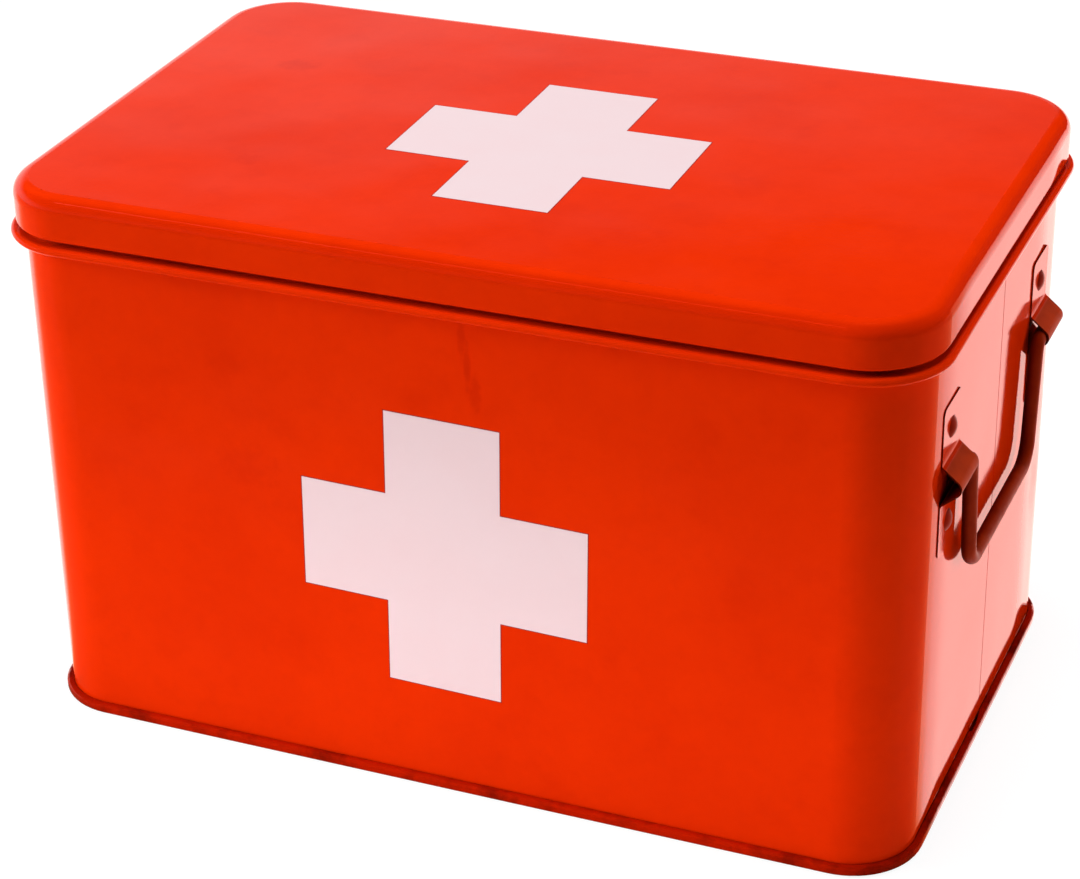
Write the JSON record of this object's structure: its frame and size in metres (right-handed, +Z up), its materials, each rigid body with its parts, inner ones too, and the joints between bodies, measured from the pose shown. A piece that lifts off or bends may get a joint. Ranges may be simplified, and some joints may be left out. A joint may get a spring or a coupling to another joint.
{
  "type": "medicine box",
  "caption": "Rectangular sheet-metal medicine tin with a shallow lift-off lid and a swinging wire handle on each end.",
  "frame": {"origin": "centre of the footprint, on the surface that the box stands on", "axes": "+X along the long side towards the end with the folded seam, -Y is the front, +Z up"},
  "size_m": [0.3282, 0.204, 0.2],
  "materials": {
    "paint": "gloss",
    "rivets": "gloss"
  },
  "bodies": {
    "box": {"body_wall": "paint", "base_pan": "paint", "bracket_right_front": "paint", "bracket_right_rear": "paint", "bracket_left_front": "paint", "bracket_left_rear": "paint", "rivet_right_front_upper": "rivets", "rivet_right_front_lower": "rivets", "rivet_right_rear_upper": "rivets", "rivet_right_rear_lower": "rivets", "rivet_left_front_upper": "rivets", "rivet_left_front_lower": "rivets", "rivet_left_rear_upper": "rivets", "rivet_left_rear_lower": "rivets"},
    "lid": {"lid": "paint"},
    "handle_right": {"handle_right": "paint"},
    "handle_left": {"handle_left": "paint"}
  },
  "joints": [
    {"name": "lid_lift", "type": "slide", "parent": "box", "child": "lid", "axis": [0, 0, 1], "range_m": [0, 0.08]},
    {"name": "handle_right_swing", "type": "hinge", "parent": "box", "child": "handle_right", "pos_m": [0.1608, 0, 0.1317], "axis": [0, -1, 0], "range_deg": [0, 180]},
    {"name": "handle_left_swing", "type": "hinge", "parent": "box", "child": "handle_left", "pos_m": [-0.1608, 0, 0.1317], "axis": [0, 1, 0], "range_deg": [0, 180]}
  ]
}
